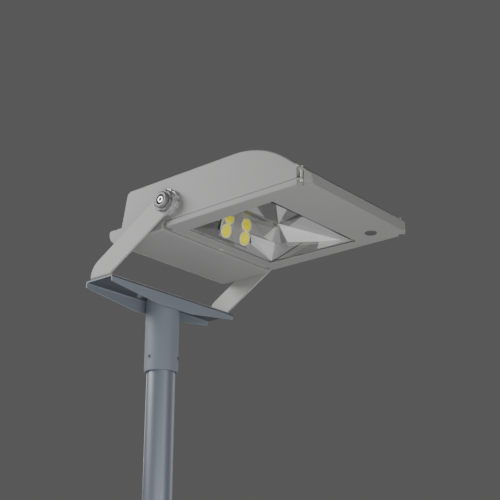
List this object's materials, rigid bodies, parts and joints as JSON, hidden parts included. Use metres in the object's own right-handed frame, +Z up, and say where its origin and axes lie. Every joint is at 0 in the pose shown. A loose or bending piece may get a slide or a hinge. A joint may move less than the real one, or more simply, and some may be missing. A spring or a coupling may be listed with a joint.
{
  "type": "led flood light",
  "caption": "Pole-top LED flood light: tilting grey cast housing in a U bracket, faceted star reflector, yellow sources, hinged glass door.",
  "frame": {"origin": "centre of the pole's lower end", "axes": "+Z up along the pole, -Y towards the lamp's front, +X to the right along the traverse"},
  "size_m": [0.492, 0.699, 0.824],
  "materials": {
    "pole_coat": "blue-grey metallic coat",
    "bracket_coat": "blue-grey metallic coat",
    "arm_coat": "light grey powder coat",
    "housing_coat": "light grey powder coat on cast aluminium",
    "door_coat": "light grey powder coat on cast aluminium",
    "ring_metal": "satin",
    "bright_steel": "stainless",
    "dark_steel": "blackened",
    "bare_aluminium": "satin",
    "reflector_sheet": "semi-bright anodised sheet",
    "clear_glass": "clear toughened",
    "white_board": "white ceramic",
    "yellow_phosphor": "yellow silicone",
    "driver_case": "pale casing",
    "pale_plastic": "moulded",
    "dark_plastic": "moulded",
    "black_rubber": "matt"
  },
  "bodies": {
    "pole": {"pole": "pole_coat"},
    "bracket": {"pole_sleeve": "bracket_coat", "set_screws": "dark_steel", "traverse_plate": "bracket_coat", "mounting_bracket": "arm_coat", "bracket_bolts": "bright_steel", "bracket_washers": "bright_steel", "bracket_nuts": "bracket_coat", "cable_grommet": "black_rubber"},
    "door": {"door_frame": "door_coat", "glass_pane": "clear_glass", "glass_gasket": "black_rubber", "glass_clips": "bright_steel", "clip_screws": "bright_steel", "door_screws": "dark_steel", "vent_plug": "dark_plastic"},
    "head": {"housing": "housing_coat", "gear_cover": "housing_coat", "index_rings": "ring_metal", "pivot_caps": "ring_metal", "pivot_bolts": "bright_steel", "cover_screws": "bright_steel", "led_carrier": "bare_aluminium", "carrier_screws": "bright_steel", "led_boards": "white_board", "led_emitters": "yellow_phosphor", "star_reflector": "reflector_sheet", "side_reflector_right": "reflector_sheet", "side_reflector_left": "reflector_sheet", "rear_reflector": "reflector_sheet", "reflector_screws": "bright_steel", "bulkhead_grommet": "black_rubber", "gear_tray": "bare_aluminium", "tray_screws": "bright_steel", "driver": "driver_case", "terminal_block": "pale_plastic", "cable_gland": "dark_plastic", "gland_nut": "dark_plastic", "door_seal": "black_rubber", "hinge_pins": "bright_steel"}
  },
  "joints": [
    {"name": "swivel", "type": "hinge", "parent": "pole", "child": "bracket", "pos_m": [0, 0, 0.6], "axis": [0, 0, 1], "range_deg": [-180, 180]},
    {"name": "tilt", "type": "hinge", "parent": "bracket", "child": "head", "pos_m": [0, -0.2236, 0.7522], "axis": [1, 0, 0], "range_deg": [-20, 90]},
    {"name": "door_hinge", "type": "hinge", "parent": "head", "child": "door", "pos_m": [0, -0.2068, 0.695], "axis": [1, 0, 0], "range_deg": [0, 90]}
  ]
}
